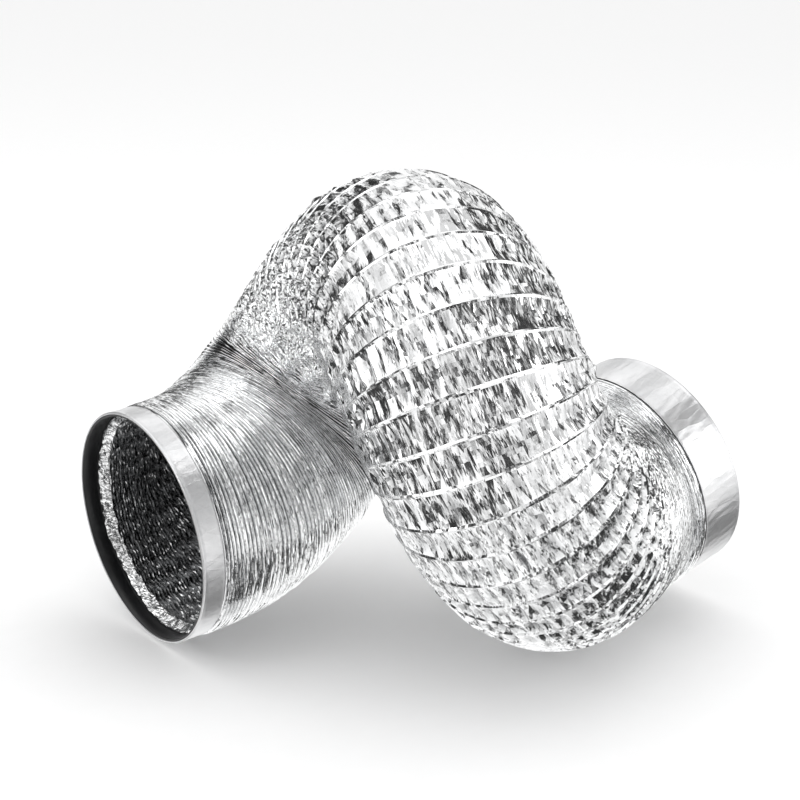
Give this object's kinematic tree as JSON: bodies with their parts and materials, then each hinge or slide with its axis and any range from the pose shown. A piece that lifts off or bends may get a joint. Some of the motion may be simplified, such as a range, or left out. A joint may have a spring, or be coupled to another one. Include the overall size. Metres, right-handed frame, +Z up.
{
  "type": "flexible air duct",
  "caption": "Foil duct with a spring-wire helix, pulled out along a standing loop and squeezed into fine pleats at both open ends, which are stiffened by a ring and a tape band.",
  "frame": {"origin": "middle of the whole duct's box, on the plane it lies on", "axes": "+Z up, +X along the duct's length from inlet to outlet, +Y towards the side on which the legs lead away"},
  "size_m": [0.4444, 0.3131, 0.3117],
  "materials": {
    "foil_outer": "bright crumpled foil",
    "foil_inner": "bright crumpled foil",
    "spring_wire": "drawn wire",
    "foil_tape": "smooth bright foil tape",
    "black_plastic": "satin"
  },
  "bodies": {
    "inlet_end": {"inlet_tape_band": "foil_tape", "inlet_stiffening_ring": "black_plastic"},
    "inlet_leg": {"inlet_pleats_inner_ply": "foil_inner", "inlet_pleats_wire": "spring_wire", "inlet_pleats_outer_ply": "foil_outer", "inlet_leg_inner_ply": "foil_inner", "inlet_leg_wire": "spring_wire", "inlet_leg_outer_ply": "foil_outer"},
    "rise": {"inlet_bend_inner_ply": "foil_inner", "inlet_bend_wire": "spring_wire", "inlet_bend_outer_ply": "foil_outer", "rise_inner_ply": "foil_inner", "rise_wire": "spring_wire", "rise_outer_ply": "foil_outer"},
    "crown": {"shoulder_bend_inner_ply": "foil_inner", "shoulder_bend_wire": "spring_wire", "shoulder_bend_outer_ply": "foil_outer", "crown_inner_ply": "foil_inner", "crown_wire": "spring_wire", "crown_outer_ply": "foil_outer"},
    "descent": {"crown_bend_inner_ply": "foil_inner", "crown_bend_wire": "spring_wire", "crown_bend_outer_ply": "foil_outer", "descent_inner_ply": "foil_inner", "descent_wire": "spring_wire", "descent_outer_ply": "foil_outer"},
    "belly": {"waist_inner_ply": "foil_inner", "waist_wire": "spring_wire", "waist_outer_ply": "foil_outer", "belly_front_inner_ply": "foil_inner", "belly_front_wire": "spring_wire", "belly_front_outer_ply": "foil_outer", "belly_inner_ply": "foil_inner", "belly_wire": "spring_wire", "belly_outer_ply": "foil_outer", "outlet_bend_inner_ply": "foil_inner", "outlet_bend_wire": "spring_wire", "outlet_bend_outer_ply": "foil_outer"},
    "outlet_leg": {"outlet_leg_inner_ply": "foil_inner", "outlet_leg_wire": "spring_wire", "outlet_leg_outer_ply": "foil_outer", "outlet_pleats_inner_ply": "foil_inner", "outlet_pleats_wire": "spring_wire", "outlet_pleats_outer_ply": "foil_outer"},
    "outlet_end": {"outlet_tape_band": "foil_tape", "outlet_stiffening_ring": "black_plastic"}
  },
  "joints": [
    {"name": "inlet_pull", "type": "slide", "parent": "inlet_leg", "child": "inlet_end", "axis": [-0.7928, -0.6, -0.1071], "range_m": [0, 0.1], "deforming": ["inlet_pleats_inner_ply", "inlet_pleats_wire", "inlet_pleats_outer_ply"]},
    {"name": "inlet_open", "type": "hinge", "parent": "rise", "child": "inlet_leg", "pos_m": [-0.1085, 0.1046, 0.0464], "axis": [0.8268, -0.3498, -0.4404], "range_deg": [0, 14], "deforming": ["inlet_bend_inner_ply", "inlet_bend_wire", "inlet_bend_outer_ply"]},
    {"name": "shoulder_open", "type": "hinge", "parent": "crown", "child": "rise", "pos_m": [-0.0359, 0.1449, 0.2184], "axis": [0.89, 0.1182, -0.4403], "range_deg": [0, 12], "deforming": ["shoulder_bend_inner_ply", "shoulder_bend_wire", "shoulder_bend_outer_ply"]},
    {"name": "crown_open", "type": "hinge", "parent": "descent", "child": "crown", "pos_m": [0.0062, -0.021, 0.3103], "axis": [0.9428, 0.3334, -0.007], "range_deg": [0, 12], "deforming": ["crown_bend_inner_ply", "crown_bend_wire", "crown_bend_outer_ply"]},
    {"name": "waist_open", "type": "hinge", "parent": "belly", "child": "descent", "pos_m": [0.027, -0.1539, 0.1858], "axis": [0.896, -0.0555, 0.4406], "range_deg": [0, 10], "deforming": ["waist_inner_ply", "waist_wire", "waist_outer_ply"]},
    {"name": "outlet_open", "type": "hinge", "parent": "belly", "child": "outlet_leg", "pos_m": [0.0635, 0.0831, 0.0446], "axis": [-0.4352, 0.1564, 0.8867], "range_deg": [0, 12], "deforming": ["outlet_bend_inner_ply", "outlet_bend_wire", "outlet_bend_outer_ply"]},
    {"name": "outlet_pull", "type": "slide", "parent": "outlet_leg", "child": "outlet_end", "axis": [0.7446, 0.6162, 0.2567], "range_m": [0, 0.05], "deforming": ["outlet_pleats_inner_ply", "outlet_pleats_wire", "outlet_pleats_outer_ply"]}
  ]
}
